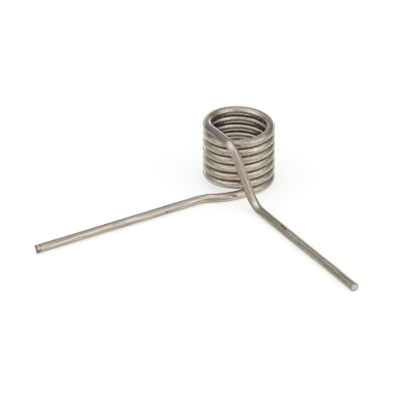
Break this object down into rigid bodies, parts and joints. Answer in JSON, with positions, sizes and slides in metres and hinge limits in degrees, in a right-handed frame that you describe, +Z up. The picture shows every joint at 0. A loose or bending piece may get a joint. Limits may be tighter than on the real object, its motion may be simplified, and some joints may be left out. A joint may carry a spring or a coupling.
{
  "type": "torsion spring",
  "caption": "Close-wound right-hand torsion spring of round steel wire, with long straight legs stepped in to lie in a shared plane at the foot of the coil.",
  "frame": {"origin": "on the coil's axis, in the plane that the two straight legs lie on", "axes": "+Z up the coil's axis, -X along the lower leg towards its free end; the upper leg's free end points 2 degrees off -Y, towards -X"},
  "size_m": [0.101, 0.1008, 0.025],
  "materials": {
    "steel_wire": "bare drawn spring wire, satin, with fine lengthwise drawing lines"
  },
  "bodies": {
    "root": {"spring": "steel_wire"}
  },
  "joints": []
}
